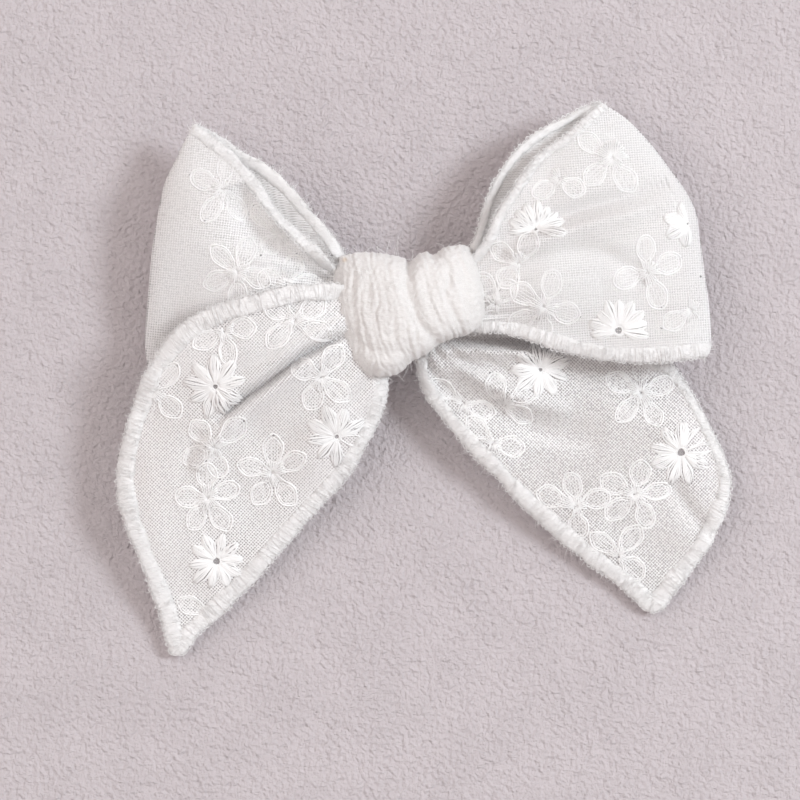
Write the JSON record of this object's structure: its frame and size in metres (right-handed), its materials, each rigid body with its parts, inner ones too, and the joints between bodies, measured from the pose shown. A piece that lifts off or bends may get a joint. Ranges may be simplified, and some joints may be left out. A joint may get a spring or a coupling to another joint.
{
  "type": "hair bow",
  "caption": "White embroidered cotton hair bow with overlocked edges, folded into loops and tails round a gathered knot, on a sprung metal alligator clip",
  "frame": {"origin": "on the flat underside of the clip's toothed jaw, directly below the middle of the knot", "axes": "+X runs across the bow from its left side to its right side as seen from the front, which is also along the clip from its levers to its teeth; +Y towards the tops of the loops; +Z out of the bow's face, away from the hair"},
  "size_m": [0.1147, 0.1018, 0.0217],
  "materials": {
    "clip_lower_jaw": "bright nickel plate on pressed steel sheet",
    "clip_upper_arm": "bright nickel plate on pressed steel sheet",
    "hinge_pin": "bright nickel plate, riveted heads",
    "torsion_spring": "plated round spring wire",
    "arm_ribbon": "ribbed ribbon, matt",
    "glue_pad": "set hot glue, slightly waxy",
    "gathered_waist": "tightly gathered cotton",
    "binding_thread": "twisted cotton sewing thread",
    "knot_band": "crinkled soft cotton, matt",
    "band_stitch_1": "twisted cotton sewing thread",
    "band_stitch_2": "twisted cotton sewing thread",
    "band_stitch_3": "twisted cotton sewing thread",
    "left_loop": "sheer plain-weave cotton with white flower embroidery",
    "left_loop_lower_edging": "overlocked edge with a fine fuzz",
    "left_loop_upper_edging": "overlocked edge with a fine fuzz",
    "right_loop": "sheer plain-weave cotton with white flower embroidery",
    "right_loop_lower_edging": "overlocked edge with a fine fuzz",
    "right_loop_upper_edging": "overlocked edge with a fine fuzz",
    "left_tail": "sheer plain-weave cotton with white flower embroidery",
    "left_tail_edging": "overlocked edge with a fine fuzz",
    "right_tail": "sheer plain-weave cotton with white flower embroidery",
    "right_tail_edging": "overlocked edge with a fine fuzz"
  },
  "bodies": {
    "bow": {"clip_upper_arm": "clip_upper_arm", "hinge_pin": "hinge_pin", "torsion_spring": "torsion_spring", "arm_ribbon": "arm_ribbon", "glue_pad": "glue_pad", "gathered_waist": "gathered_waist", "binding_thread": "binding_thread", "knot_band": "knot_band", "band_stitch_1": "band_stitch_1", "band_stitch_2": "band_stitch_2", "band_stitch_3": "band_stitch_3", "left_loop": "left_loop", "left_loop_lower_edging": "left_loop_lower_edging", "left_loop_upper_edging": "left_loop_upper_edging", "right_loop": "right_loop", "right_loop_lower_edging": "right_loop_lower_edging", "right_loop_upper_edging": "right_loop_upper_edging", "left_tail": "left_tail", "left_tail_edging": "left_tail_edging", "right_tail": "right_tail", "right_tail_edging": "right_tail_edging"},
    "jaw": {"clip_lower_jaw": "clip_lower_jaw"}
  },
  "joints": [
    {"name": "jaw_pivot", "type": "hinge", "parent": "bow", "child": "jaw", "pos_m": [-0.011, 0, 0.0031], "axis": [0, 1, 0], "range_deg": [0, 20], "stiffness_Nm_per_rad": 0.12, "springref_deg": -34.38, "deforming": ["torsion_spring"]}
  ]
}
